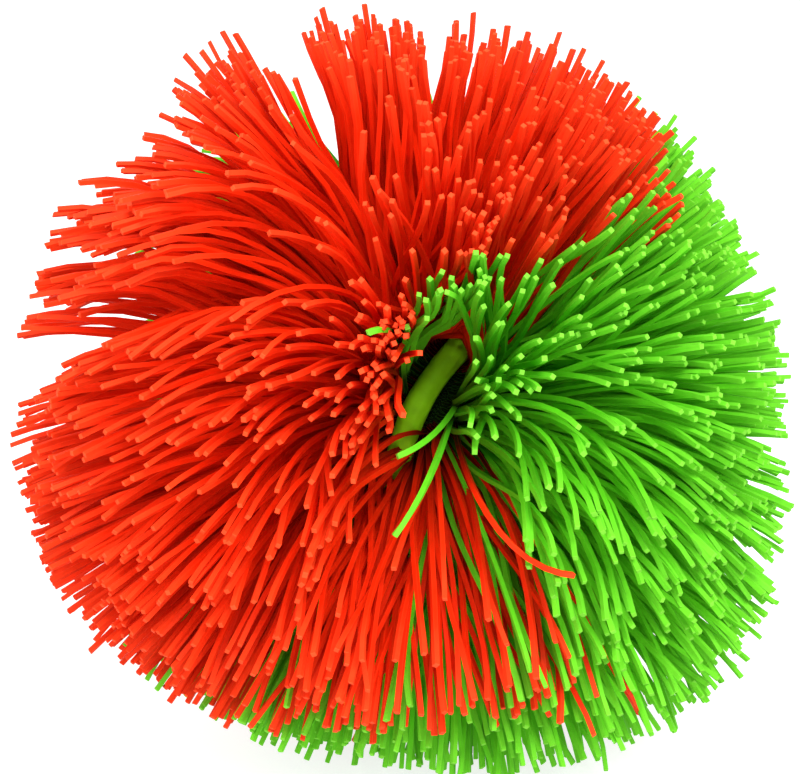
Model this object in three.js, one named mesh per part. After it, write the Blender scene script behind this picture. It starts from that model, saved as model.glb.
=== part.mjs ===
// A ball of floppy rubber strands in two colours, tied round the middle by one rubber band.
// Every strand runs through the band, and its two halves spring out on either side of it. The
// thousands of fine strand ends are grouped into tufts: a tuft is one solid that leaves the band
// as a tight wedge and splits into prongs. The ball stands on the tips that its weight presses flat.
// Millimetres, +Z up, with the origin at the middle of the surface that the ball stands on.
import * as THREE from "three";

// Ball
const BALL_RADIUS = 39.5;
const CENTRE_HEIGHT = 37;
const TIP_SCATTER = 0.5;

// Binding band: a round cord closed into a loop, a little off the middle of the ball
const BAND_RADIUS = 10.8;
const BAND_THICKNESS = 2.7;
const BAND_OFFSET = 3.2;
const BAND_SIDES = 10;
const BAND_STEPS = 36;

// The band's loop is upright but for these two turns: it leans back, then rolls to one side
const LEAN_DEG = 15;
const ROLL_DEG = 62;

// Tufts on each side of the band, row by row from the parting to the pole
const TUFTS_PER_ROW = [13, 9, 5, 1];
const PARTING_DEG = 3;
const TUFT_FILL = 0.86;
const CLEARANCE = 0.3;

// Prongs of a tuft: how many, the share of their pitch that is slit where they part, and the share
// of their width there that is left at the tip
const PRONGS_ACROSS = 3;
const PRONGS_DEEP = 2;
const SLIT_SHARE = 0.16;
const TIP_SHARE = 0.62;

// How far a strand heads straight out of the band and straight to its tip, and the shares of its
// line where the tuft's wedge has a section; the prongs part at the last one
const LEAVE_LENGTH = 6.5;
const ARRIVE_LENGTH = 15;
const WEDGE_SHARES = [0, 0.14, 0.32, 0.55];

// The green sector of the front, as seen from in front, and the depth at which the back begins
const GREEN_FROM_DEG = -58;
const GREEN_TO_DEG = 54;
const SECTOR_SHIFT = 0.09;
const BACK_DEPTH = -0.3;
const RED_BACK_DEPTH = -0.45;

const RUBBER = {
  red: new THREE.MeshStandardMaterial({ color: 0xf0381a, roughness: 0.55, metalness: 0 }),
  green: new THREE.MeshStandardMaterial({ color: 0x58b818, roughness: 0.55, metalness: 0 }),
  band: new THREE.MeshStandardMaterial({ color: 0x5f9c12, roughness: 0.45, metalness: 0 }),
};

// Directions that the whole ball is laid out by
const right = new THREE.Vector3(1, 0, 0);
const lean = THREE.MathUtils.degToRad(LEAN_DEG);
const roll = THREE.MathUtils.degToRad(ROLL_DEG);
const ahead = new THREE.Vector3(0, -Math.cos(lean), Math.sin(lean));
const upward = ahead.clone().cross(right);
const parting = mix([right, Math.cos(roll)], [upward, Math.sin(roll)]);
const axis = mix([right, -Math.sin(roll)], [upward, Math.cos(roll)]);

const ballCentre = new THREE.Vector3(0, 0, CENTRE_HEIGHT);
const bandCentre = mix([ballCentre, 1], [axis, -BAND_OFFSET]);
const mouthRadius = BAND_RADIUS - BAND_THICKNESS / 2 - CLEARANCE;
const partingSine = Math.sin(THREE.MathUtils.degToRad(PARTING_DEG));

// The weighted sum of some vectors.
function mix(...terms) {
  const sum = new THREE.Vector3();
  for (const [vector, weight] of terms) sum.addScaledVector(vector, weight);
  return sum;
}

// How far from the band's centre a ray meets a sphere of this radius round the ball's centre.
function reachAlong(direction, radius) {
  const offset = mix([bandCentre, 1], [ballCentre, -1]);
  const half = direction.dot(offset);
  return -half + Math.sqrt(half * half - offset.lengthSq() + radius * radius);
}

// One strand's line on one side (+1 or -1) of the band. sine is that of the tip's angle above the
// parting, and bearing is its angle round the bundle. The strand leaves the band along the bundle's
// axis, bends outwards over the band's edge, and ends radially at the tip.
function strandLine(side, sine, bearing, radius) {
  const outward = mix([ahead, Math.cos(bearing)], [parting, Math.sin(bearing)]);
  const direction = mix([outward, Math.sqrt(1 - sine * sine)], [axis, side * sine]);
  const rootRadius = mouthRadius * Math.sqrt((1 - sine) / (1 - partingSine));
  const root = mix([bandCentre, 1], [outward, rootRadius], [axis, (side * CLEARANCE) / 2]);
  const tip = mix([bandCentre, 1], [direction, reachAlong(direction, radius)]);
  const leaving = mix([root, 1], [axis, side * LEAVE_LENGTH]);
  const arriving = mix([tip, 1], [direction, -ARRIVE_LENGTH]);
  return new THREE.CubicBezierCurve3(root, leaving, arriving, tip);
}

// The point at this share of a line, or where the line first meets the ground.
function pointAbove(line, share) {
  const point = line.getPoint(share);
  if (point.z >= 0) return point;
  let above = 0;
  let below = share;
  for (let step = 0; step < 40; step += 1) {
    const middle = (above + below) / 2;
    if (line.getPoint(middle).z >= 0) above = middle;
    else below = middle;
  }
  return line.getPoint(below).setZ(0);
}

// The cells that the tufts of one side fill. locate turns a place in the cell, from -1 to 1 each
// way, into the sine and bearing of a strand. All cells take the same share of the sphere.
function tuftCells() {
  const count = TUFTS_PER_ROW.reduce((sum, tufts) => sum + tufts, 0);
  const sinePerTuft = (1 - partingSine) / count;
  const cells = [];
  let low = partingSine;
  TUFTS_PER_ROW.forEach((tufts, row) => {
    const high = low + tufts * sinePerTuft;
    for (let column = 0; column < tufts; column += 1) {
      const locate = tufts === 1 ? poleCell(low) : rowCell(low, high, column, tufts);
      cells.push({ row, column, locate });
    }
    low = high;
  });
  return cells;
}

// A cell of a row: a stretch of latitude and a stretch of bearing.
function rowCell(low, high, column, tufts) {
  const halfHeight = (high - low) / 2;
  const halfTurn = Math.PI / tufts;
  return (deep, across) => ({
    sine: low + halfHeight + deep * TUFT_FILL * halfHeight,
    bearing: halfTurn * (2 * column + across * TUFT_FILL),
  });
}

// The cell round the pole: a square inside its circle.
function poleCell(low) {
  const halfWidth = (TUFT_FILL * Math.acos(low)) / Math.SQRT2;
  return (deep, across) => ({
    sine: Math.cos(halfWidth * Math.hypot(deep, across)),
    bearing: Math.atan2(across, -deep),
  });
}

// The edges of the prongs across a cell, from -1 to 1, in pairs.
function prongEdges(prongs) {
  const pitch = 2 / (prongs - SLIT_SHARE);
  const edges = [];
  for (let prong = 0; prong < prongs; prong += 1) {
    edges.push(-1 + prong * pitch, -1 + (prong + 1 - SLIT_SHARE) * pitch);
  }
  return edges;
}

// A tuft is a grid of strand lines. Its outline is swept from the band to where the prongs part,
// and each prong goes on from there to its tip, closing in as its neighbours draw away from it.
function tuftGeometry(side, locate, seed) {
  const deepEdges = prongEdges(PRONGS_DEEP);
  const acrossEdges = prongEdges(PRONGS_ACROSS);
  const outline = outlineOf(deepEdges.length, acrossEdges.length);
  const positions = [];
  const faces = [];

  function addPoint(deep, across, radius, share) {
    const { sine, bearing } = locate(deep, across);
    const line = strandLine(side, sine, bearing, radius);
    positions.push(...pointAbove(line, share).toArray());
    return positions.length / 3 - 1;
  }

  // The corners run clockwise, seen from outside a tuft on the side that the axis points to.
  function addQuad(a, b, c, d) {
    if (side > 0) faces.push(a, c, b, a, d, c);
    else faces.push(a, b, c, a, c, d);
  }

  function addSleeve(inner, outer) {
    inner.forEach((corner, index) => {
      const next = (index + 1) % inner.length;
      addQuad(corner, inner[next], outer[next], outer[index]);
    });
  }

  function addProng(base, i, j) {
    const deepMiddle = (deepEdges[i] + deepEdges[i + 1]) / 2;
    const acrossMiddle = (acrossEdges[j] + acrossEdges[j + 1]) / 2;
    const radius = BALL_RADIUS - TIP_SCATTER * (1 + Math.sin(7 * seed + 5 * i + 3 * j));
    const corners = [[i, j], [i + 1, j], [i + 1, j + 1], [i, j + 1]];
    const tip = corners.map(([deepIndex, acrossIndex]) => {
      const deep = deepMiddle + TIP_SHARE * (deepEdges[deepIndex] - deepMiddle);
      const across = acrossMiddle + TIP_SHARE * (acrossEdges[acrossIndex] - acrossMiddle);
      return addPoint(deep, across, radius, 1);
    });
    addSleeve(base, tip);
    addQuad(...tip);
  }

  const crown = deepEdges.map((deep) =>
    acrossEdges.map((across) => addPoint(deep, across, BALL_RADIUS, WEDGE_SHARES.at(-1))),
  );
  const sections = WEDGE_SHARES.slice(0, -1).map((share) =>
    outline.map(([i, j]) => addPoint(deepEdges[i], acrossEdges[j], BALL_RADIUS, share)),
  );
  sections.push(outline.map(([i, j]) => crown[i][j]));
  for (let index = 1; index < sections.length; index += 1) {
    addSleeve(sections[index - 1], sections[index]);
  }

  const mouth = sections[0];
  for (let corner = 1; corner < mouth.length / 2; corner += 1) {
    const last = mouth.length - corner;
    addQuad(mouth[last - 1], mouth[corner], mouth[corner - 1], mouth[last % mouth.length]);
  }

  for (let i = 0; i < deepEdges.length - 1; i += 1) {
    for (let j = 0; j < acrossEdges.length - 1; j += 1) {
      const quad = [crown[i][j], crown[i + 1][j], crown[i + 1][j + 1], crown[i][j + 1]];
      if (i % 2 === 0 && j % 2 === 0) addProng(quad, i, j);
      else addQuad(...quad);
    }
  }

  const geometry = new THREE.BufferGeometry();
  geometry.setAttribute("position", new THREE.Float32BufferAttribute(positions, 3));
  geometry.setIndex(faces);
  geometry.computeVertexNormals();
  return geometry;
}

// The grid places round the outline of a cell, in order.
function outlineOf(rows, columns) {
  const places = [];
  for (let i = 0; i < rows - 1; i += 1) places.push([i, 0]);
  for (let j = 0; j < columns - 1; j += 1) places.push([rows - 1, j]);
  for (let i = rows - 1; i > 0; i -= 1) places.push([i, columns - 1]);
  for (let j = columns - 1; j > 0; j -= 1) places.push([0, j]);
  return places;
}

// Green strands fill a sector of the front and the back of the axis's side. Red ones fill the rest
// of the front and the back of the other side, so that each colour has ends on both sides.
function colourOf(side, locate) {
  const { sine, bearing } = locate(0, 0);
  const tip = strandLine(side, sine, bearing, BALL_RADIUS).v3;
  const direction = mix([tip, 1], [ballCentre, -1]).normalize();
  const depth = direction.dot(ahead);
  if (side > 0 && depth < BACK_DEPTH) return "green";
  if (side < 0 && depth < RED_BACK_DEPTH) return "red";
  const across = direction.dot(right) - SECTOR_SHIFT;
  const turn = THREE.MathUtils.radToDeg(Math.atan2(direction.dot(upward), across));
  return turn > GREEN_FROM_DEG && turn < GREEN_TO_DEG ? "green" : "red";
}

// The band's loop: a round section turned about the bundle's axis.
function bandMesh() {
  const section = [];
  for (let side = 0; side <= BAND_SIDES; side += 1) {
    const angle = (2 * Math.PI * (side % BAND_SIDES)) / BAND_SIDES;
    const x = BAND_RADIUS + (BAND_THICKNESS / 2) * Math.cos(angle);
    section.push(new THREE.Vector2(x, (BAND_THICKNESS / 2) * Math.sin(angle)));
  }
  const mesh = new THREE.Mesh(new THREE.LatheGeometry(section, BAND_STEPS), RUBBER.band);
  mesh.name = "binding_band";
  mesh.quaternion.setFromUnitVectors(new THREE.Vector3(0, 1, 0), axis);
  mesh.position.copy(bandCentre);
  return mesh;
}

const ball = new THREE.Group();
ball.add(bandMesh());
const cells = tuftCells();
for (const side of [1, -1]) {
  cells.forEach(({ row, column, locate }, index) => {
    const colour = colourOf(side, locate);
    const mesh = new THREE.Mesh(tuftGeometry(side, locate, side * index), RUBBER[colour]);
    mesh.name = `${colour}_tuft_${side > 0 ? "a" : "b"}${row + 1}_${column + 1}`;
    ball.add(mesh);
  });
}

// The origin goes to the middle of the ball's box, at the height of the surface it stands on.
const box = new THREE.Box3().setFromObject(ball, true);
const middle = box.getCenter(new THREE.Vector3());
ball.position.set(-middle.x, -middle.y, -box.min.z);

export default ball;
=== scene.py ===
"""Looks of the rubber strand ball: thousands of square rubber strand ends in red and green, which
fan out on both sides of a green rubber band, on a pale floor in soft studio light.

Lengths are in millimetres until a mesh is made. The strands are laid out by the same directions as
the CAD model: its band leans back, then rolls to one side. "Seen" places are those the camera sees,
right and up of the crease in which the band shows, in shares of the ball's radius.
"""

import math

import bpy
import numpy as np
from mathutils import Matrix, Vector
from mathutils.kdtree import KDTree


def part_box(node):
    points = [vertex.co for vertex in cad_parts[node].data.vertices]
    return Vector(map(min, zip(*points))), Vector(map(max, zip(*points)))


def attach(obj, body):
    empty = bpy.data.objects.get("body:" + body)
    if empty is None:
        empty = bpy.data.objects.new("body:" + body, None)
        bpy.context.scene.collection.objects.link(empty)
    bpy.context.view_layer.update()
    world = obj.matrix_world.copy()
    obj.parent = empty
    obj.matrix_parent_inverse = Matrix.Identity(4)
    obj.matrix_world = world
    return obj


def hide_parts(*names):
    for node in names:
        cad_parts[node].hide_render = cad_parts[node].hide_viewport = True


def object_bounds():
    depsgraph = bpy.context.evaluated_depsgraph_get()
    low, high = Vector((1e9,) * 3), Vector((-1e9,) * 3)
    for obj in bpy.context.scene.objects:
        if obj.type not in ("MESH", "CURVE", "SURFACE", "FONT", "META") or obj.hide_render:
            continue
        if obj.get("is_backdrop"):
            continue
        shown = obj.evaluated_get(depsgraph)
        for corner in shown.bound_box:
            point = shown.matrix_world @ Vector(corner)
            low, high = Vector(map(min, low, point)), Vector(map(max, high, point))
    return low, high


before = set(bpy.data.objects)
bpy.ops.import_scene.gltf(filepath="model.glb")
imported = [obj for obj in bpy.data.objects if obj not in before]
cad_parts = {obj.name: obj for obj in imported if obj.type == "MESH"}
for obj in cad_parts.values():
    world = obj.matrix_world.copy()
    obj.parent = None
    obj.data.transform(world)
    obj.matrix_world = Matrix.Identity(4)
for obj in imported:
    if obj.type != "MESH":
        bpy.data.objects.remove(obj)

MM = 0.001
rng = np.random.default_rng(7)

CAD_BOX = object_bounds()

# Directions of the layout
LEAN = math.radians(15)
ROLL = math.radians(62)
RIGHT = np.array([1.0, 0.0, 0.0])
AHEAD = np.array([0.0, -math.cos(LEAN), math.sin(LEAN)])
UPWARD = np.cross(AHEAD, RIGHT)
PARTING = math.cos(ROLL) * RIGHT + math.sin(ROLL) * UPWARD
AXIS = -math.sin(ROLL) * RIGHT + math.cos(ROLL) * UPWARD

# Band and ball
BAND_LOW, BAND_HIGH = (np.array(corner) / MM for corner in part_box("binding_band"))
BAND_CENTRE = (BAND_LOW + BAND_HIGH) / 2
BAND_RADIUS = 10.8
BAND_THICKNESS = 2.7
BALL_CENTRE = BAND_CENTRE + 3.2 * AXIS
BALL_RADIUS = 39.0

# Camera
CAMERA_DISTANCE = 210.0
CAMERA_AIM = BALL_CENTRE - 0.2 * RIGHT + 0.5 * UPWARD
CAMERA_PLACE = CAMERA_AIM + CAMERA_DISTANCE * AHEAD
FOCAL_SHARE = 2.565
CREASE = (0.075, 0.055)

# Strands
ENDS_PER_SIDE = 2700
CROWDING = 1.14
STRAND_WIDTH = 0.45
ROOT_WIDTH = 0.36
MOUTH_RADIUS = 9.3
FIRST_SINE = math.sin(math.radians(1.0))
LEAVE_LENGTH = 6.0
ARRIVE_LENGTH = 13.0
BEARING_JITTER = 0.02
SHARES = np.array([0, .08, .16, .24, .32, .40, .48, .56, .64, .72, .80, .88, .95, 1.0])


def unit(vectors):
    return vectors / np.linalg.norm(vectors, axis=-1, keepdims=True)


def smooth(low, high, values):
    """A smooth step from 0 at low to 1 at high."""
    t = np.clip((values - low) / (high - low), 0, 1)
    return t * t * (3 - 2 * t)


class Waves:
    """A smooth random field of vectors over directions, of about unit size."""

    def __init__(self, pitch, width=3, count=24):
        self.waves = rng.normal(size=(count, 3)) * 2 * math.pi / pitch * 0.6
        self.phases = rng.uniform(0, 2 * math.pi, count)
        self.heights = rng.normal(size=(count, width)) * math.sqrt(2 / count)

    def __call__(self, directions):
        return np.sin(directions @ self.waves.T + self.phases) @ self.heights


def seen(points):
    """How the camera sees points: right and up of the crease, and their distance ahead of it."""
    ray = points - CAMERA_PLACE
    far = -(ray @ AHEAD)
    scale = CAMERA_DISTANCE / (far * BALL_RADIUS)
    offset = (CAMERA_AIM - BALL_CENTRE) / BALL_RADIUS
    x = ray @ RIGHT * scale + offset @ RIGHT - CREASE[0]
    y = ray @ UPWARD * scale + offset @ UPWARD - CREASE[1]
    return x, y, far


def placed(x, y, far):
    """The points the camera sees at these places: the opposite of seen."""
    offset = (CAMERA_AIM - BALL_CENTRE) / BALL_RADIUS
    scale = far * BALL_RADIUS / CAMERA_DISTANCE
    across = (x + CREASE[0] - offset @ RIGHT) * scale
    up = (y + CREASE[1] - offset @ UPWARD) * scale
    return CAMERA_PLACE - far[..., None] * AHEAD + across[..., None] * RIGHT + up[..., None] * UPWARD


def reach_along(directions, radius):
    """How far from the band's centre each ray meets a sphere round the ball's centre."""
    offset = BAND_CENTRE - BALL_CENTRE
    half = directions @ offset
    return -half + np.sqrt(half * half - offset @ offset + radius * radius)


# How much longer or shorter the ends are round the ball's outline, in millimetres, at these seen
# angles round the ball's centre
OUTLINE_ANGLES = [0, 30, 60, 90, 120, 135, 160, 180, 205, 240, 255, 290, 318, 332, 350]
OUTLINE_LENGTHS = [
    -0.4, -1.8, -2.2, -2.8, -1.2, -3.4, -2.2, -0.2, 0.9, -1.6, -2.8, 1.0, 4.2, 2.6, -1.2,
]
MEAN_LENGTH = -0.9
RAGGED = 0.8
WAVE_PITCH = 0.4
WAVE_LENGTH = 0.5
# Shares of the way ahead between which the outline counts
RIM_FROM = (-0.4, -0.1)
RIM_TO = (0.3, 0.8)
# Ends are smoother at the lower left and rougher at the upper left
SMOOTHER = 0.45
ROUGHER = 0.4


def lengthened(direction):
    """How much longer the ends that point in these directions are than the ball's radius."""
    angle = np.degrees(np.arctan2(direction @ UPWARD, direction @ RIGHT)) % 360
    outline = np.interp(angle, OUTLINE_ANGLES, OUTLINE_LENGTHS, period=360)
    rim = smooth(*RIM_FROM, direction @ AHEAD) * (1 - smooth(*RIM_TO, direction @ AHEAD))
    smoother = 1 - SMOOTHER * smooth(0.2, 0.8, direction @ unit(-RIGHT - 0.8 * UPWARD))
    spiky = 1 + ROUGHER * smooth(0.4, 0.9, direction @ unit(-RIGHT + UPWARD))
    own = RAGGED * rng.normal(size=len(direction)) * smoother * spiky
    waves = Waves(WAVE_PITCH, 1)(direction)[:, 0]
    return MEAN_LENGTH * (1 - rim) + rim * outline + own + WAVE_LENGTH * waves


# Layout of the strand ends
CROSS_LENGTH = 6.5
OPEN_LENGTH = 1.0
OPEN_BEARING = math.radians(9)
BARE_BEARING = math.radians(30)
NEAR_SINE = 0.12
TUCK = {1: 0.1, -1: 0.62}
TUCK_SINE = 0.4
OPEN_SINE = 0.25
CROSS_LEAST = -0.2
# How much shorter strands leave the band, and longer they arrive, where the parting is shut
SHUT_LEAVING = 0.35
SHUT_ARRIVING = 0.7


def side_lines(side):
    """The middle lines of the strand ends on one side of the band, before they are combed. Near
    the parting they cross the band's plane, except where the crease is open at the front."""
    count = ENDS_PER_SIDE
    index = np.arange(count)
    rank = (index + rng.uniform(0, 1, count)) / count
    sine = FIRST_SINE + (1 - FIRST_SINE) * rank ** CROWDING
    bearing = index * math.pi * (3 - math.sqrt(5)) + rng.normal(0, BEARING_JITTER, count)
    turn = np.abs((bearing + math.pi) % (2 * math.pi) - math.pi)
    near = np.exp(-(sine / NEAR_SINE) ** 2)
    shut = near * smooth(0.8 * BARE_BEARING, 1.3 * BARE_BEARING, turn)
    covered = smooth(1.1 * OPEN_BEARING, 3.2 * OPEN_BEARING, turn)

    outward = np.cos(bearing)[:, None] * AHEAD + np.sin(bearing)[:, None] * PARTING
    direction = np.sqrt(1 - sine ** 2)[:, None] * outward + (side * sine)[:, None] * AXIS
    radius = BALL_RADIUS + lengthened(direction)
    root_radius = MOUTH_RADIUS * np.sqrt((1 - sine) / (1 - FIRST_SINE))
    root = BAND_CENTRE + root_radius[:, None] * outward
    tip = BAND_CENTRE + direction * reach_along(direction, radius)[:, None]
    tucked = np.exp(-(sine / TUCK_SINE) ** 2) * (1 - smooth(0.6, 1.2, turn)) * TUCK[side]
    leaving = root + (side * LEAVE_LENGTH * (1 - SHUT_LEAVING * shut - tucked))[:, None] * AXIS
    arriving = tip - (ARRIVE_LENGTH * (1 + SHUT_ARRIVING * shut))[:, None] * direction
    t = SHARES[None, :, None]
    line = (
        (1 - t) ** 3 * root[:, None]
        + 3 * t * (1 - t) ** 2 * leaving[:, None]
        + 3 * t * t * (1 - t) * arriving[:, None]
        + t ** 3 * tip[:, None]
    )
    cross = near * covered * rng.uniform(CROSS_LEAST, 1, count) * CROSS_LENGTH
    early = smooth(0.15, 0.8, SHARES)
    late = smooth(0.5, 1.0, SHARES)
    weight = late + shut[:, None] / (near[:, None] + 1e-6) * (early - late)
    opened = np.exp(-(sine / OPEN_SINE) ** 2) * (1 - covered) * OPEN_LENGTH
    across = side * (opened[:, None] * smooth(0.1, 1.0, SHARES) - cross[:, None] * weight)
    return line + across[..., None] * AXIS


# Comb strokes over the front, in seen places: the middle, the reach, and how far the tips move
# right and up, in millimetres
STROKES = [
    (-0.68, 0.08, 0.20, -4.0, 1.0),
    (-0.10, 0.50, 0.15, -1.0, 2.0),
    (-0.50, -0.40, 0.30, -1.5, -2.0),
    (-0.08, -0.12, 0.10, -0.5, -4.0),
    (0.17, -0.05, 0.11, 3.5, -0.5),
    (0.12, -0.22, 0.12, 2.0, -3.5),
    (0.50, -0.15, 0.25, 4.0, -1.5),
]
# Sweeps out to the edge: the seen angle, half its width, the seen radius it starts at, and how far
# the tips move, in millimetres
SWEEPS = [
    (132, 42, 0.36, 18.0),
    (277, 27, 0.22, 19.0),
    (325, 40, 0.22, 6.0),
]
# Bellies, for strands with tips near a seen place: how far their middles bend right and up
BELLIES = [
    (-0.85, 0.35, 0.30, 1.6, 4.6),
    (-0.50, 0.32, 0.20, 0.8, 2.2),
    (-0.80, -0.10, 0.25, 0.0, 1.0),
    (0.50, -0.42, 0.35, 2.0, 2.2),
    (-0.35, -0.50, 0.30, -1.4, 1.6),
]
BELLY_PEAK = 6.75  # makes the bend 1 at two thirds of the way
# Places the comb gathers tips to: the middle, the reach and the share of the way
GATHERS = [
    (0.24, 0.36, 0.34, 0.36),
    (-0.17, 0.02, 0.30, 0.58),
    (0.06, 0.21, 0.20, 0.18),
    (-0.24, 0.27, 0.22, 0.40),
]


def combed(tips):
    """How far the comb moves these tips."""
    x, y, _ = seen(tips)
    front = smooth(-0.35, 0.35, unit(tips - BALL_CENTRE) @ AHEAD)
    move_x = np.zeros(len(tips))
    move_y = np.zeros(len(tips))
    for middle_x, middle_y, size, to_right, to_top in STROKES:
        share = front * np.exp(-((x - middle_x) ** 2 + (y - middle_y) ** 2) / (2 * size * size))
        move_x = move_x + share * to_right
        move_y = move_y + share * to_top
    for middle_x, middle_y, size, pull in GATHERS:
        share = front * np.exp(-((x - middle_x) ** 2 + (y - middle_y) ** 2) / (2 * size * size))
        move_x = move_x + share * pull * (middle_x - x) * BALL_RADIUS
        move_y = move_y + share * pull * (middle_y - y) * BALL_RADIUS
    angle = np.degrees(np.arctan2(y, x)) % 360
    radius = np.hypot(x, y)
    for middle, half, start, push in SWEEPS:
        share = front * (1 - smooth(0.6 * half, half, np.abs(angle - middle)))
        share = share * smooth(start, start + 0.15, radius) * (1 - smooth(0.65, 1.0, radius))
        move_x = move_x + share * push * np.cos(np.radians(angle))
        move_y = move_y + share * push * np.sin(np.radians(angle))
    return move_x[:, None] * RIGHT + move_y[:, None] * UPWARD


def bellied(line):
    """Bends the middles of strands."""
    x, y, _ = seen(line[:, -1])
    bend = np.zeros((len(line), 3))
    for middle_x, middle_y, size, to_right, to_top in BELLIES:
        share = np.exp(-((x - middle_x) ** 2 + (y - middle_y) ** 2) / (2 * size * size))
        bend = bend + share[:, None] * (to_right * RIGHT + to_top * UPWARD)
    middle = BELLY_PEAK * SHARES ** 2 * (1 - SHARES)
    return line + middle[None, :, None] * bend[:, None]


# The slot in front of the band, through which the camera sees it, in seen places
SLOT_MIDDLE = (0.02, -0.03)
SLOT_LENGTH = 0.135
SLOT_WIDTH = {1: 0.060, -1: 0.036}
SLOT_REACH = 0.17
SLOT_DEPTHS = (3, 10)
SLOT_ENDS = (0.7, 1.3)


def cleared(line, sides):
    """Moves strands out of the slot in front of the band, each to its own side."""
    x, y, far = seen(line)
    x = x - SLOT_MIDDLE[0]
    y = y - SLOT_MIDDLE[1]
    along = x * math.cos(ROLL) + y * math.sin(ROLL)
    off = (y * math.cos(ROLL) - x * math.sin(ROLL)) * sides[:, None]
    strength = smooth(*SLOT_DEPTHS, CAMERA_DISTANCE - far)
    strength = strength * (1 - smooth(*SLOT_ENDS, np.abs(along) / SLOT_LENGTH))
    width = np.where(sides[:, None] > 0, SLOT_WIDTH[1], SLOT_WIDTH[-1]) * strength
    outside = width + np.maximum(off, 0) * (1 - width / SLOT_REACH)
    off = np.where(off < SLOT_REACH, off + (outside - off) * strength, off) * sides[:, None]
    x = along * math.cos(ROLL) - off * math.sin(ROLL) + SLOT_MIDDLE[0]
    y = along * math.sin(ROLL) + off * math.cos(ROLL) + SLOT_MIDDLE[1]
    return placed(x, y, far)


def leaned(line, move, bend=1.7):
    """Moves the tips, and the rest of each strand less and less towards the band, with every point
    kept at its distance from the ball's centre."""
    weight = (SHARES ** bend)[None, :, None]
    from_centre = line - BALL_CENTRE
    distance = np.linalg.norm(from_centre, axis=-1, keepdims=True)
    return BALL_CENTRE + distance * unit(from_centre + move[:, None] * weight)


CLUMPS_OVER_BALL = 16
CLUMP_JITTER = 0.5


def clumped(line, pitch, share, bend):
    """Draws the tips of neighbours together round random middles about a pitch apart."""
    tips = line[:, -1]
    count = int(CLUMPS_OVER_BALL * (BALL_RADIUS / pitch) ** 2)
    middles = rng.choice(len(tips), count, replace=False)
    tree = KDTree(count)
    for place, middle in enumerate(middles):
        tree.insert(tips[middle], place)
    tree.balance()
    nearest = np.array([tree.find(tip)[1] for tip in tips])
    target = np.zeros((count, 3))
    members = np.zeros(count)
    np.add.at(target, nearest, tips)
    np.add.at(members, nearest, 1)
    target = target / np.maximum(members, 1)[:, None] + rng.normal(0, CLUMP_JITTER, (count, 3))
    pull = share * rng.uniform(0.3, 1.0, count)[nearest] * rng.uniform(0.6, 1.2, len(tips))
    return leaned(line, (target[nearest] - tips) * pull[:, None], bend)


# Fingers of strands at the upper left edge, as seen angles in degrees, and wedges cut right
# through the ball's edge: seen angle, half width there, the seen radius it starts at, its tilt
FINGERS = np.array([
    95.5, 101, 104, 109, 113, 118, 121.5, 126, 130.5, 135, 141, 146, 152, 157, 161.5,
])
FINGERS_FROM = 92
FINGERS_TO = 163
FINGER_PULL = 0.85
FINGER_FADE = 4
FINGER_JITTER = 0.8
FINGER_RADII = (0.42, 0.95)
WEDGE_SPREAD = 4.5
WEDGE_LEAST, WEDGE_MOST = 0.6, 1.1
WEDGES = [
    (110.5, 4.8, 0.56, 11),
    (104.0, 1.2, 0.70, 0),
    (89.0, 2.6, 0.66, 0),
    (83.5, 1.0, 0.60, 0),
    (161.0, 5.0, 0.62, 42),
    (15.0, 2.2, 0.74, 0),
    (-12.0, 1.5, 0.82, 0),
    (-30.0, 1.2, 0.80, 0),
    (38.0, 1.0, 0.84, 0),
]


def parted(line):
    """Turns the outer parts of strands to the nearest finger, and out of the wedges."""
    x, y, far = seen(line)
    angle = np.degrees(np.arctan2(y, x)) % 360
    radius = np.hypot(x, y)
    tip_angle = angle[:, -1]
    nearest = FINGERS[np.argmin(np.abs(tip_angle[:, None] - FINGERS), axis=1)]
    nearest = nearest + rng.normal(0, FINGER_JITTER, len(line))
    inside = smooth(FINGERS_FROM, FINGERS_FROM + FINGER_FADE, tip_angle)
    inside = inside * (1 - smooth(FINGERS_TO, FINGERS_TO + FINGER_FADE, tip_angle))
    turn = ((nearest - tip_angle) * inside)[:, None] * FINGER_PULL * smooth(*FINGER_RADII, radius)
    for middle, half, start, tilt in WEDGES:
        off = (tip_angle - middle - tilt * (radius[:, -1] - start) + 180) % 360 - 180
        opening = half * smooth(start - 0.08, start + 0.15, radius)
        share = np.clip(1 - np.abs(off) / (WEDGE_SPREAD * half), 0, 1) * np.sign(off)
        turn = turn + opening * (share * rng.uniform(WEDGE_LEAST, WEDGE_MOST, len(line)))[:, None]
    turned = np.radians(angle + turn)
    return placed(radius * np.cos(turned), radius * np.sin(turned), far)


# Strands push each other apart
PASSES = 10
SPACING = 1.08
GRID = 1000  # cells along each side of the grid


def close_pairs(points, level, reach):
    """Pairs of points of one level that are closer than the reach, from a grid of cells."""
    cell = np.floor(points / reach).astype(np.int64) + GRID // 2
    key = ((level * GRID + cell[:, 0]) * GRID + cell[:, 1]) * GRID + cell[:, 2]
    order = np.argsort(key)
    ranked = key[order]
    steps = [(x, y, z) for x in (-1, 0, 1) for y in (-1, 0, 1) for z in (-1, 0, 1)]
    for x, y, z in steps[13:]:
        wanted = key + (x * GRID + y) * GRID + z
        first = np.searchsorted(ranked, wanted, "left")
        last = np.searchsorted(ranked, wanted, "right")
        for place in range(int((last - first).max())):
            one = np.nonzero(last - first > place)[0]
            other = order[first[one] + place]
            keep = one < other if (x, y, z) == (0, 0, 0) else one != other
            yield one[keep], other[keep]


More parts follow.
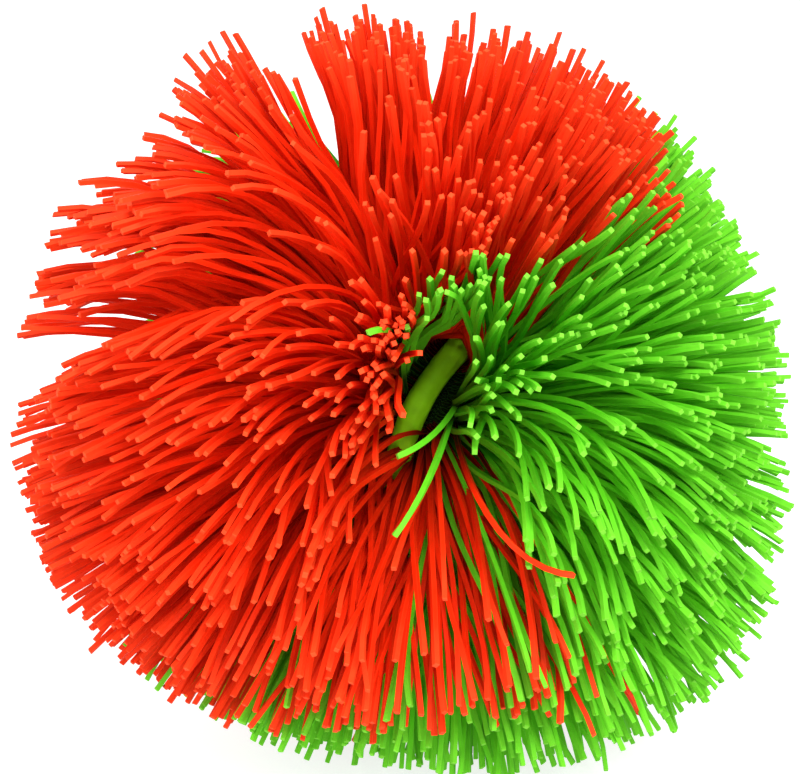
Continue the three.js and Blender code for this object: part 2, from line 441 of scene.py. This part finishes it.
def apart(line, width):
    """Pushes strands that cut into each other apart, away from the band's mouth."""
    count, rings = line.shape[:2]
    level = np.tile(np.arange(rings), count)
    free = smooth(0.2, 0.5, SHARES)[None, :, None]
    size = (width * SPACING * np.minimum(1, 0.6 + SHARES)).reshape(-1)
    for _ in range(PASSES):
        points = line.reshape(-1, 3)
        push = np.zeros_like(points)
        for one, other in close_pairs(points, level, STRAND_WIDTH * 1.2):
            gap = points[one] - points[other]
            distance = np.linalg.norm(gap, axis=1) + 1e-9
            short = np.maximum((size[one] + size[other]) / 2 - distance, 0)
            shift = gap * (0.5 * short / distance)[:, None]
            np.add.at(push, one, shift)
            np.add.at(push, other, -shift)
        push = push.reshape(line.shape) * free
        even = push.copy()
        even[:, 1:-1] = (push[:, :-2] + 2 * push[:, 1:-1] + push[:, 2:]) / 4
        line = line + even
    return line


FLOOR_GAP = 0.4
BEND = 0.85
CURL = 0.8
LEAN_PITCH = 0.35
LEAN_WAVES = 1.3
LEAN_JITTER = 0.8
# Clumps of tips: their pitch, the share drawn together, how much more at the upper left and less at
# the lower left, and how late along the strands it starts
CLUMPS = [
    (5.0, 0.15, 0.35, 0.12, 2.2),
    (2.4, 0.45, 0.2, 0.3, 2.5),
]
STRAY_SHARE = 0.05
STRAY_MOVE = 3.0
LOOSER_BELOW = 0.8
WIDTH_SPREAD = 0.05
ROOT_SHARE = 0.35
# Places with fewer strands: the seen middle of their tips, the reach, and the share left out
THINNED = [
    (0.00, -0.68, 0.27, 0.70),
    (-0.15, -0.45, 0.14, 0.50),
    (-0.27, -0.60, 0.18, 0.60),
    (-0.72, 0.52, 0.34, 0.45),
    (-0.95, 0.15, 0.14, 0.40),
    (0.32, -0.78, 0.20, 0.35),
]
# Single strands laid over the others: the side, two bends and the tip of each as seen places and how
# far they are ahead of the ball's centre, in millimetres, and whether it is green
LAID = [
    (-1, [(0.05, -0.08, 24), (0.04, -0.26, 37), (-0.094, -0.432, 37)], True),
    (-1, [(0.06, -0.20, 25), (0.15, -0.52, 38), (0.375, -0.536, 32)], False),
    (-1, [(0.20, -0.30, 26), (0.42, -0.68, 24), (0.552, -0.901, 8)], False),
    (-1, [(0.07, -0.04, 20), (0.06, -0.17, 31), (-0.086, -0.224, 33)], True),
    (1, [(-0.09, 0.05, 20), (-0.07, 0.14, 39), (-0.164, 0.10, 39)], True),
    (1, [(-0.08, 0.02, 18), (-0.075, 0.08, 30), (-0.062, 0.115, 37)], True),
]


def thinness(line):
    """The chance that each strand is left out."""
    x, y, _ = seen(line[:, -1])
    front = smooth(-0.4, -0.2, unit(line[:, -1] - BALL_CENTRE) @ AHEAD)
    chance = np.zeros(len(line))
    for middle_x, middle_y, size, share in THINNED:
        away = ((x - middle_x) ** 2 + (y - middle_y) ** 2) / (2 * size * size)
        chance = np.maximum(chance, front * share * np.exp(-away))
    return chance


def laid():
    """The middle lines of the single strands laid over the others."""
    t = SHARES[:, None]
    lines = []
    for side, places, green in LAID:
        bends = [
            placed(np.array(x), np.array(y), np.array(CAMERA_DISTANCE - ahead))
            for x, y, ahead in places
        ]
        points = [BAND_CENTRE + MOUTH_RADIUS * AHEAD + side * BAND_THICKNESS * AXIS, *bends]
        weights = [(1 - t) ** 3, 3 * t * (1 - t) ** 2, 3 * t * t * (1 - t), t ** 3]
        lines.append(sum(weight * point for weight, point in zip(weights, points)))
    sides = np.array([side for side, _, _ in LAID])
    return np.array(lines), sides, np.array([green for _, _, green in LAID])


def all_lines():
    """The middle lines of all strand ends, the side of the band each is on, their widths, and
    which are green."""
    lines = []
    for side in (1, -1):
        line = side_lines(side)
        lines.append(bellied(leaned(line, combed(line[:, -1]))))
    line = np.concatenate(lines)
    sides = np.repeat([1, -1], ENDS_PER_SIDE)
    count = len(line)
    facing = unit(line[:, -1] - BALL_CENTRE)
    upper_left = smooth(0.1, 0.7, facing @ unit(-RIGHT + 0.9 * UPWARD + 0.1 * AHEAD))
    line = leaned(line, LEAN_WAVES * Waves(LEAN_PITCH)(facing) + rng.normal(0, LEAN_JITTER, (count, 3)))
    lower_left = smooth(0.2, 0.8, facing @ unit(-RIGHT - 0.8 * UPWARD))
    for pitch, share, more, less, late in CLUMPS:
        line = clumped(line, pitch, share + more * upper_left - less * lower_left, late)
    stray = rng.uniform(0, 1, count) < STRAY_SHARE
    line = leaned(line, stray[:, None] * rng.normal(0, STRAY_MOVE, (count, 3)), 2.5)
    loose = 1 + LOOSER_BELOW * smooth(0.3, 0.9, facing @ unit(0.4 * RIGHT - UPWARD))[:, None]
    line = leaned(line, loose * rng.normal(0, CURL, (count, 3)), 4)
    bend = loose * rng.normal(0, BEND, (count, 3))
    belly = smooth(0, 0.5, SHARES) * (1 - smooth(0.5, 1, SHARES))
    line = line + belly[None, :, None] * bend[:, None]
    line = cleared(parted(line), sides)
    kept = rng.uniform(0, 1, count) > thinness(line)
    added, added_sides, added_green = laid()
    green = np.append(is_green(line, sides)[kept], added_green)
    line = np.concatenate([line[kept], added])
    sides = np.append(sides[kept], added_sides)
    count = len(line)
    width = STRAND_WIDTH * (1 + rng.normal(0, WIDTH_SPREAD, (count, 1)))
    width = np.minimum(width, ROOT_WIDTH + (width - ROOT_WIDTH) * SHARES / ROOT_SHARE)
    line[:, :, 2] = np.maximum(line[:, :, 2], FLOOR_GAP)
    line = apart(line, width)
    line[:, :, 2] = np.maximum(line[:, :, 2], FLOOR_GAP)
    return line, sides, width, green


# Colours of the strands: the seen angles, in degrees, between which they are green at the front, for
# each of these seen radii
EDGE_RADII = [0.26, 0.31, 0.41, 0.61, 0.78, 0.86, 0.95]
GREEN_TO = [97, 71, 52, 44, 38, 44, 56]
GREEN_FROM = [-100, -84, -76, -69, -65, -63, -63]
BACK_DEPTHS = {1: -0.38, -1: -0.45}
UNDER_ANGLES = [-145, -125, -105, -60]
UNDER_DEPTHS = [-0.15, 0.26, 0.54, 0.60]
UNDER_BACK = -0.15
UNDER_TO = -60
BORDER_PITCH = 0.5
BORDER_WAVES = 3
BORDER_JITTER = 3.5
UNDER_JITTER = 0.08
DEPTH_WOBBLE = 0.008


def is_green(line, sides):
    """Which strands are green: a sector of the front, the back of one side of the band, and those
    under the red ones at the bottom."""
    tips = line[:, -1]
    direction = unit(tips - BALL_CENTRE)
    wobble = BORDER_WAVES * Waves(BORDER_PITCH, 1)(direction)[:, 0]
    wobble = wobble + rng.normal(0, BORDER_JITTER, len(tips))
    depth = direction @ AHEAD + DEPTH_WOBBLE * wobble
    x, y, _ = seen(tips)
    turn = np.degrees(np.arctan2(y, x)) + wobble
    radius = np.hypot(x, y)
    sector = turn > np.interp(radius, EDGE_RADII, GREEN_FROM)
    sector = sector & (turn < np.interp(radius, EDGE_RADII, GREEN_TO))
    deepest = np.interp(turn, UNDER_ANGLES, UNDER_DEPTHS, -2, -2)
    under = depth + rng.normal(0, UNDER_JITTER, len(tips)) < deepest
    sector = sector | (under & (turn < UNDER_TO) & (depth > UNDER_BACK))
    return np.where(sides > 0, sector | (depth < BACK_DEPTHS[1]), sector & (depth > BACK_DEPTHS[-1]))


# Meshes
CORNERS = np.radians([45, 135, 225, 315])
TWIST = 0.08
CUT_SLANT = 0.12
CUT_BEVEL = 0.84
CUT_LIFT = 0.06


def mesh_of(name, points, faces, share, tone, cut, across, bake):
    """A mesh of four-cornered faces with the values its material reads: the share of the way along
    the strand, the strand's own tone, which faces are cut ends, and the place across a side."""
    mesh = bpy.data.meshes.new(name)
    mesh.vertices.add(len(points))
    mesh.vertices.foreach_set("co", (points * MM).astype(np.float32).reshape(-1))
    mesh.loops.add(faces.size)
    mesh.loops.foreach_set("vertex_index", faces.astype(np.int32).reshape(-1))
    mesh.polygons.add(len(faces))
    mesh.polygons.foreach_set("loop_start", np.arange(0, faces.size, 4, dtype=np.int32))
    mesh.update(calc_edges=True)
    columns = [("share", "POINT", share), ("tone", "FACE", tone), ("cut", "FACE", cut)]
    for key, domain, values in [*columns, ("across", "CORNER", across)]:
        mesh.attributes.new(key, "FLOAT", domain).data.foreach_set("value", values.astype(np.float32))
    layer = mesh.uv_layers.new(name="OFBake")
    layer.data.foreach_set("uv", bake.astype(np.float32).reshape(-1))
    return mesh


def square_strands(name, line, width):
    """One mesh of square strands along these lines, with cut ends."""
    count, rings = line.shape[:2]
    tangent = unit(np.gradient(line, axis=1))
    normal = unit(np.cross(tangent[:, 0], unit(rng.normal(size=(count, 3)))))
    twist = rng.normal(0, TWIST, (count, 1))
    slant = rng.normal(0, CUT_SLANT, (count, 2))
    corners = []
    for ring in range(rings + 1):
        place = min(ring, rings - 1)
        along = tangent[:, place]
        normal = unit(normal - along * (normal * along).sum(-1, keepdims=True))
        normal = unit(normal + twist * np.cross(along, normal))
        second = np.cross(along, normal)
        size = width[:, place] / math.sqrt(2)
        for angle in CORNERS:
            out = math.cos(angle) * normal + math.sin(angle) * second
            corner = line[:, place] + (size * (1 if ring < rings else CUT_BEVEL))[:, None] * out
            if place == rings - 1:
                tilt = size * (slant[:, 0] * math.cos(angle) + slant[:, 1] * math.sin(angle))
                corner = corner + along * (tilt + (0 if ring < rings else CUT_LIFT))[:, None]
            corners.append(corner)
    points = np.stack(corners, 1).reshape(-1, 3)

    # Faces of one strand, repeated for all
    last = 4 * rings
    quads = [(4 * ring + k, 4 * ring + (k + 1) % 4, 4 * ring + (k + 1) % 4 + 4, 4 * ring + k + 4)
             for ring in range(rings) for k in range(4)]
    quads += [(last, last + 1, last + 2, last + 3), (3, 2, 1, 0)]
    faces = (np.array(quads) + (np.arange(count) * (last + 4))[:, None, None]).reshape(-1, 4)
    share = np.tile(np.repeat(np.append(SHARES, 1.0), 4), count)
    tone = np.repeat(rng.uniform(0, 1, count), len(quads))
    cut = np.tile(np.append(np.zeros(4 * (rings - 1)), [1] * 6), count)
    across = np.tile([0, 1, 1, 0], len(faces))

    # Each strand has a cell of the baked map: four strips for its sides, and its two ends
    columns = math.ceil(count / 2)
    cell = np.zeros((len(quads), 4, 2))
    steps = np.append(SHARES, 1.03) * 0.9 + 0.03
    for ring in range(rings):
        for k in range(4):
            left, right = 0.04 + 0.19 * k, 0.21 + 0.19 * k
            low, high = steps[ring], steps[ring + 1]
            cell[4 * ring + k] = [(left, low), (right, low), (right, high), (left, high)]
    for end in range(2):
        low, high = 0.1 + 0.4 * end, 0.4 + 0.4 * end
        cell[4 * rings + end] = [(0.82, low), (0.96, low), (0.96, high), (0.82, high)]
    place = np.stack([np.arange(count) % columns, np.arange(count) // columns], 1)
    bake = (place[:, None, None] + cell[None]) * np.array([1 / columns, 0.5])
    mesh = mesh_of(name, points, faces, share, tone, cut, across, bake.reshape(-1, 2))

    ends = np.empty(len(mesh.edges) * 2, np.int32)
    mesh.edges.foreach_get("vertices", ends)
    ring_of = ends.reshape(-1, 2) % (last + 4) // 4
    sharp = (ring_of[:, 0] != ring_of[:, 1]) | (ring_of.max(1) >= rings - 1) | (ring_of.max(1) == 0)
    mesh.attributes.new("sharp_edge", "BOOLEAN", "EDGE").data.foreach_set("value", sharp)
    return mesh


BAND_STEPS = 240
BAND_SIDES = 28
BAND_BULGE = 1.3
BAND_DENTS = 0.06


def band_mesh(name):
    """The band: a soft round cord in a ring, pressed into a slight saddle by the strands."""
    turn = np.arange(BAND_STEPS) * 2 * math.pi / BAND_STEPS
    outward = np.cos(turn)[:, None] * AHEAD + np.sin(turn)[:, None] * PARTING
    front = np.maximum(np.cos(turn), 0)
    bulge = BAND_BULGE * front * np.cos(2 * turn)
    middle = BAND_CENTRE + BAND_RADIUS * outward + bulge[:, None] * AXIS
    around = np.arange(BAND_SIDES) * 2 * math.pi / BAND_SIDES
    out = (np.cos(around)[None, :, None] * outward[:, None]
           + np.sin(around)[None, :, None] * AXIS[None, None])
    dents = BAND_DENTS * (Waves(0.5, 1)(outward)[:, None, 0] + Waves(0.25, 1)(out)[..., 0])
    points = middle[:, None] + out * (BAND_THICKNESS / 2 + dents)[..., None]
    ring, side = np.meshgrid(np.arange(BAND_STEPS), np.arange(BAND_SIDES), indexing="ij")
    after, beside = (ring + 1) % BAND_STEPS, (side + 1) % BAND_SIDES
    faces = np.stack([ring * BAND_SIDES + side, after * BAND_SIDES + side,
                      after * BAND_SIDES + beside, ring * BAND_SIDES + beside], -1).reshape(-1, 4)
    u, v = ring / BAND_STEPS, side / BAND_SIDES
    bake = np.stack([np.stack([u, v], -1), np.stack([u + 1 / BAND_STEPS, v], -1),
                     np.stack([u + 1 / BAND_STEPS, v + 1 / BAND_SIDES], -1),
                     np.stack([u, v + 1 / BAND_SIDES], -1)], -2)
    flat = np.zeros(len(faces))
    # Painted highlight: the material paints the band a little paler all over, and more where this share
    # is high, at its sides towards the parting.
    share = np.tile(np.abs(np.sin(turn))[:, None], BAND_SIDES).reshape(-1)
    return mesh_of(name, points.reshape(-1, 3), faces, share, flat, flat, np.zeros(faces.size),
                   bake.reshape(-1, 2))


# Materials
SPECULAR = 0.08


def node(tree, kind, inputs=(), **settings):
    """A shader node with its settings and inputs, which are numbers, colours or other outputs."""
    made = tree.nodes.new("ShaderNode" + kind)
    for key, value in settings.items():
        setattr(made, key, value)
    for key, value in dict(inputs).items():
        if isinstance(value, bpy.types.NodeSocket):
            tree.links.new(value, made.inputs[key])
        else:
            made.inputs[key].default_value = value
    return made


def attribute(tree, name):
    return node(tree, "Attribute", attribute_name=name).outputs["Fac"]


def step(tree, value, low, high, to_low=0.0, to_high=1.0):
    """A smooth step of a value between two results."""
    made = node(tree, "MapRange", {"Value": value, "From Min": low, "From Max": high, "To Min": to_low,
                                   "To Max": to_high}, interpolation_type="SMOOTHSTEP")
    return made.outputs["Result"]


def calculate(tree, operation, one, other=0.0):
    return node(tree, "Math", {0: one, 1: other}, operation=operation).outputs[0]


def blend(tree, share, one, other, kind="MIX"):
    made = node(tree, "Mix", data_type="RGBA", blend_type=kind)
    for key, value in ((0, share), (6, one), (7, other)):
        if isinstance(value, bpy.types.NodeSocket):
            tree.links.new(value, made.inputs[key])
        else:
            made.inputs[key].default_value = value
    return made.outputs[2]


def noise(tree, place, scale, detail=2.0):
    return node(tree, "TexNoise", {"Vector": place, "Scale": scale, "Detail": detail}).outputs["Fac"]


def rubber(name, painted_shade, body, pale, cut_end_highlight):
    """Soft matt rubber, mottled, with fine drawn streaks. Painted shade makes it darker down in the ball,
    and painted highlights make it paler towards the tips, along the edges and at the cut ends of strands."""
    material = bpy.data.materials.new(name)
    material.use_nodes = True
    tree = material.node_tree
    shader = tree.nodes["Principled BSDF"]
    place = node(tree, "TexCoord").outputs["Object"]
    share, tone, cut, across = (attribute(tree, key) for key in ("share", "tone", "cut", "across"))
    # Mask of the long edges of each side, for the painted highlight along them.
    edge = step(tree, calculate(tree, "ABSOLUTE", calculate(tree, "SUBTRACT", across, 0.5)), 0.28, 0.5)
    mottle = noise(tree, place, 900.0)
    streak_place = node(tree, "CombineXYZ", {
        "X": calculate(tree, "MULTIPLY_ADD", across, 2.5), "Y": calculate(tree, "MULTIPLY", share, 3.0),
        "Z": calculate(tree, "MULTIPLY", tone, 97.0)}).outputs[0]
    streaks = noise(tree, streak_place, 3.0)
    # Painted shade: the colour darkens to the shade colour down in the ball, towards the band.
    colour = blend(tree, step(tree, share, 0.16, 0.5), painted_shade, body)
    # Painted highlight: paler over the last part of each strand, towards its tip.
    colour = blend(tree, step(tree, share, 0.86, 1.0, 0.0, 0.45), colour, pale)
    # Painted highlight: the paler colour along the long edges of the strands.
    colour = blend(tree, calculate(tree, "MULTIPLY", edge, 0.22), colour, pale)
    # Painted highlight: the cut ends take their own paler colour.
    colour = blend(tree, cut, colour, cut_end_highlight)
    light = calculate(tree, "ADD", step(tree, tone, 0.0, 1.0, 0.86, 1.06),
                      step(tree, streaks, 0.3, 0.7, -0.05, 0.05))
    light = calculate(tree, "ADD", light, step(tree, mottle, 0.3, 0.7, -0.05, 0.05))
    grey = node(tree, "CombineColor", {"Red": light, "Green": light, "Blue": light}).outputs[0]
    colour = blend(tree, 1.0, colour, grey, "MULTIPLY")
    rough = calculate(tree, "ADD", step(tree, mottle, 0.2, 0.8, 0.5, 0.68),
                      calculate(tree, "MULTIPLY", cut, 0.15))
    height = calculate(tree, "ADD", streaks, calculate(tree, "MULTIPLY", noise(tree, place, 5000.0), 0.5))
    bump = node(tree, "Bump", {"Strength": 0.35, "Distance": 0.00004, "Height": height})
    tree.links.new(colour, shader.inputs["Base Color"])
    tree.links.new(rough, shader.inputs["Roughness"])
    tree.links.new(bump.outputs["Normal"], shader.inputs["Normal"])
    shader.inputs["Specular IOR Level"].default_value = SPECULAR
    return material


# Each rubber's colours: the painted shade down in the ball, the body, the paler colour of the painted
# highlights at the tips and edges, and the painted highlight of the cut ends. The band's shade colour is
# its body colour, so it gets no painted shade.
RUBBER = {
    "red": rubber("red_rubber", (0.012, 0.0, 0.0, 1), (0.76, 0.020, 0.001, 1), (0.88, 0.065, 0.014, 1),
                  (0.82, 0.060, 0.014, 1)),
    "green": rubber("green_rubber", (0.001, 0.008, 0.0, 1), (0.098, 0.51, 0.010, 1),
                    (0.175, 0.58, 0.032, 1), (0.16, 0.52, 0.032, 1)),
    "band": rubber("band_rubber", (0.26, 0.68, 0.006, 1), (0.26, 0.68, 0.006, 1), (0.30, 0.72, 0.009, 1),
                   (0.30, 0.72, 0.009, 1)),
}


def add_piece(node_name, mesh, colour):
    piece = bpy.data.objects.new(node_name + "_looks", mesh)
    bpy.context.scene.collection.objects.link(piece)
    mesh.materials.append(RUBBER[colour])
    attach(piece, "root")
    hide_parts(node_name)


def middle_of(node_name):
    low, high = (np.array(corner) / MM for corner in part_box(node_name))
    return (low + high) / 2


def add_strands():
    """Adds one piece for each tuft of the CAD model, made of the strands nearest to it."""
    line, sides, width, green = all_lines()
    tips = line[:, -1]
    tufts = [node_name for node_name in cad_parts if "_tuft_" in node_name]
    for colour, mask in (("red", ~green), ("green", green)):
        for letter, side in (("a", 1), ("b", -1)):
            names = [name for name in tufts if name.startswith(f"{colour}_tuft_{letter}")]
            ways = unit(np.array([middle_of(name) for name in names]) - BAND_CENTRE)
            nearest = np.argmax(unit(tips - BAND_CENTRE) @ ways.T, axis=1)
            for number, name in enumerate(names):
                chosen = mask & (sides == side) & (nearest == number)
                add_piece(name, square_strands(name, line[chosen], width[chosen]), colour)


add_strands()
add_piece("binding_band", band_mesh("binding_band"), "band")

# Floor
FLOOR_SIZE = 6.0
FLOOR_GREY = 0.4
FLOOR_GLOW = 0.78


def add_floor():
    """A large white floor that glows a little, so that it stays white to its far edge."""
    bpy.ops.mesh.primitive_plane_add(size=FLOOR_SIZE)
    floor = bpy.context.object
    floor.name = "floor"
    material = bpy.data.materials.new("floor")
    material.use_nodes = True
    shader = material.node_tree.nodes["Principled BSDF"]
    shader.inputs["Base Color"].default_value = (FLOOR_GREY, FLOOR_GREY, FLOOR_GREY, 1)
    shader.inputs["Roughness"].default_value = 0.8
    shader.inputs["Emission Color"].default_value = (1, 1, 1, 1)
    shader.inputs["Emission Strength"].default_value = FLOOR_GLOW
    floor.data.materials.append(material)
    floor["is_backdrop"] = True


# Camera and light
SENSOR_WIDTH = 36
WORLD_STRENGTH = 1.2
# Soft round lamps: the direction from the ball, the distance and size in metres, and the power
LAMPS = {
    "key": ((0.3, -0.9, 0.95), 0.7, 0.4, 6),
    "fill": ((-0.9, -0.8, 0.6), 0.8, 0.5, 2),
}


def add_camera():
    data = bpy.data.cameras.new("camera")
    data.sensor_width = SENSOR_WIDTH
    data.lens = SENSOR_WIDTH * FOCAL_SHARE
    data.clip_start = 0.01
    data.clip_end = 20
    camera = bpy.data.objects.new("camera", data)
    bpy.context.scene.collection.objects.link(camera)
    basis = np.stack([RIGHT, UPWARD, AHEAD, CAMERA_PLACE * MM], axis=1)
    camera.matrix_world = Matrix([*basis.tolist(), [0, 0, 0, 1]])
    bpy.context.scene.camera = camera


def add_light():
    world = bpy.data.worlds.new("world")
    world.use_nodes = True
    background = world.node_tree.nodes["Background"]
    background.inputs["Color"].default_value = (1, 1, 1, 1)
    background.inputs["Strength"].default_value = WORLD_STRENGTH
    bpy.context.scene.world = world
    for name, (towards, distance, size, power) in LAMPS.items():
        data = bpy.data.lights.new(name, "AREA")
        data.shape = "DISK"
        data.size = size
        data.energy = power
        lamp = bpy.data.objects.new(name, data)
        bpy.context.scene.collection.objects.link(lamp)
        offset = Vector(towards).normalized()
        lamp.location = Vector(BALL_CENTRE * MM) + offset * distance
        lamp.rotation_euler = offset.to_track_quat("Z", "Y").to_euler()


add_floor()
add_camera()
add_light()
bpy.context.scene.view_settings.view_transform = "Standard"

SIZES = {"cad": CAD_BOX, "visual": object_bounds()}
{name: [list(corner) for corner in box] for name, box in SIZES.items()}
